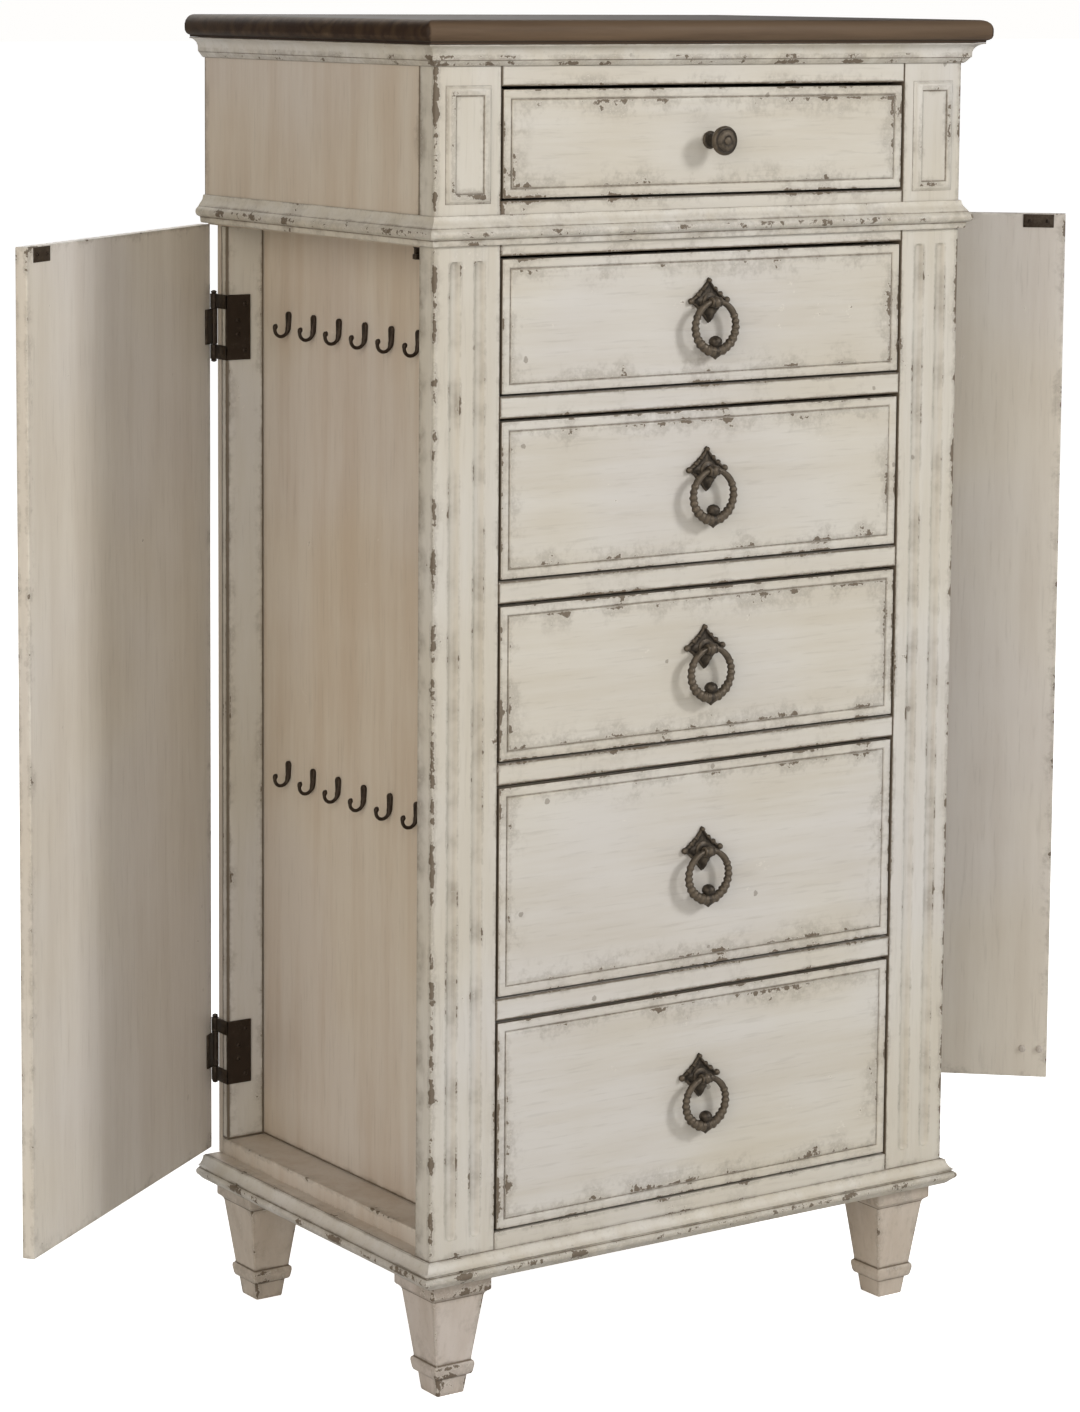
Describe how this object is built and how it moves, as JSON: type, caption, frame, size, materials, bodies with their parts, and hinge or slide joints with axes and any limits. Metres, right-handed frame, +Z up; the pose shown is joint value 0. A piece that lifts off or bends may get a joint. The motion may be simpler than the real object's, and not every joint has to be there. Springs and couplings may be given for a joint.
{
  "type": "jewelry armoire",
  "caption": "Tall free-standing jewelry chest with sliding drawers, ring pulls, a moulded top, and a hook-lined compartment behind a hinged door on each side.",
  "frame": {"origin": "on the floor, under the middle of the whole object's bounding box with its doors as stored", "axes": "+X to the viewer's right from the front; +Y from the drawer fronts to the back; +Z up"},
  "size_m": [1.0592, 0.3994, 1.118],
  "materials": {
    "cream_paint": "worn cream paint over dark glaze",
    "side_paint": "worn cream paint over dark glaze, vertical grain",
    "dark_walnut": "dark walnut stain, satin",
    "raw_wood": "unpainted wood",
    "aged_bronze": "aged bronze"
  },
  "bodies": {
    "cabinet": {"back_panel": "raw_wood", "back_stile_left": "side_paint", "back_stile_right": "side_paint", "base_board": "cream_paint", "base_moulding": "cream_paint", "crown_moulding": "cream_paint", "foot_back_left": "cream_paint", "foot_back_right": "cream_paint", "foot_front_left": "cream_paint", "foot_front_right": "cream_paint", "front_post_left": "cream_paint", "front_post_right": "cream_paint", "hinge_frame_leaf_left_lower": "aged_bronze", "hinge_frame_leaf_left_upper": "aged_bronze", "hinge_frame_leaf_right_lower": "aged_bronze", "hinge_frame_leaf_right_upper": "aged_bronze", "hooks_left": "aged_bronze", "hooks_right": "aged_bronze", "rail_above_drawer_3": "cream_paint", "rail_above_drawer_4": "cream_paint", "rail_above_drawer_5": "cream_paint", "rail_above_drawer_6": "cream_paint", "recess_panel_left": "side_paint", "recess_panel_right": "side_paint", "top_rail": "cream_paint", "top_slab": "dark_walnut", "upper_side_left": "side_paint", "upper_side_right": "side_paint", "waist_board": "raw_wood", "waist_moulding": "cream_paint", "waist_rail": "cream_paint"},
    "drawer_1": {"drawer_1_front": "cream_paint", "drawer_1_box": "raw_wood", "drawer_1_knob": "aged_bronze"},
    "drawer_2": {"drawer_2_front": "cream_paint", "drawer_2_box": "raw_wood", "pull_2_plate": "aged_bronze"},
    "drawer_3": {"drawer_3_front": "cream_paint", "drawer_3_box": "raw_wood", "pull_3_plate": "aged_bronze"},
    "drawer_4": {"drawer_4_front": "cream_paint", "drawer_4_box": "raw_wood", "pull_4_plate": "aged_bronze"},
    "drawer_5": {"drawer_5_front": "cream_paint", "drawer_5_box": "raw_wood", "pull_5_plate": "aged_bronze"},
    "drawer_6": {"drawer_6_front": "cream_paint", "drawer_6_box": "raw_wood", "pull_6_plate": "aged_bronze"},
    "pull_ring_2": {"pull_2_ring": "aged_bronze"},
    "pull_ring_3": {"pull_3_ring": "aged_bronze"},
    "pull_ring_4": {"pull_4_ring": "aged_bronze"},
    "pull_ring_5": {"pull_5_ring": "aged_bronze"},
    "pull_ring_6": {"pull_6_ring": "aged_bronze"},
    "door_left": {"side_door_left": "side_paint", "hinge_door_leaf_left_upper": "aged_bronze", "hinge_door_leaf_left_lower": "aged_bronze"},
    "door_right": {"side_door_right": "side_paint", "hinge_door_leaf_right_upper": "aged_bronze", "hinge_door_leaf_right_lower": "aged_bronze"}
  },
  "joints": [
    {"name": "drawer_1_slide", "type": "slide", "parent": "cabinet", "child": "drawer_1", "axis": [0, -1, 0], "range_m": [0, 0.25]},
    {"name": "drawer_2_slide", "type": "slide", "parent": "cabinet", "child": "drawer_2", "axis": [0, -1, 0], "range_m": [0, 0.25]},
    {"name": "drawer_3_slide", "type": "slide", "parent": "cabinet", "child": "drawer_3", "axis": [0, -1, 0], "range_m": [0, 0.25]},
    {"name": "drawer_4_slide", "type": "slide", "parent": "cabinet", "child": "drawer_4", "axis": [0, -1, 0], "range_m": [0, 0.25]},
    {"name": "drawer_5_slide", "type": "slide", "parent": "cabinet", "child": "drawer_5", "axis": [0, -1, 0], "range_m": [0, 0.25]},
    {"name": "drawer_6_slide", "type": "slide", "parent": "cabinet", "child": "drawer_6", "axis": [0, -1, 0], "range_m": [0, 0.25]},
    {"name": "pull_2_swing", "type": "hinge", "parent": "drawer_2", "child": "pull_ring_2", "pos_m": [0.01168, -0.18473, 0.8887], "axis": [-1, 0, 0], "range_deg": [0, 100]},
    {"name": "pull_3_swing", "type": "hinge", "parent": "drawer_3", "child": "pull_ring_3", "pos_m": [0.01168, -0.18473, 0.7497], "axis": [-1, 0, 0], "range_deg": [0, 100]},
    {"name": "pull_4_swing", "type": "hinge", "parent": "drawer_4", "child": "pull_ring_4", "pos_m": [0.01168, -0.18473, 0.6017], "axis": [-1, 0, 0], "range_deg": [0, 100]},
    {"name": "pull_5_swing", "type": "hinge", "parent": "drawer_5", "child": "pull_ring_5", "pos_m": [0.01168, -0.18473, 0.43145], "axis": [-1, 0, 0], "range_deg": [0, 100]},
    {"name": "pull_6_swing", "type": "hinge", "parent": "drawer_6", "child": "pull_ring_6", "pos_m": [0.01168, -0.18473, 0.2382], "axis": [-1, 0, 0], "range_deg": [0, 100]},
    {"name": "door_left_swing", "type": "hinge", "parent": "cabinet", "child": "door_left", "pos_m": [-0.24332, 0.19327, 0.53475], "axis": [0, 0, -1], "range_deg": [-54.5, 55.5]},
    {"name": "door_right_swing", "type": "hinge", "parent": "cabinet", "child": "door_right", "pos_m": [0.26668, 0.19327, 0.53475], "axis": [0, 0, 1], "range_deg": [-48, 62]}
  ]
}
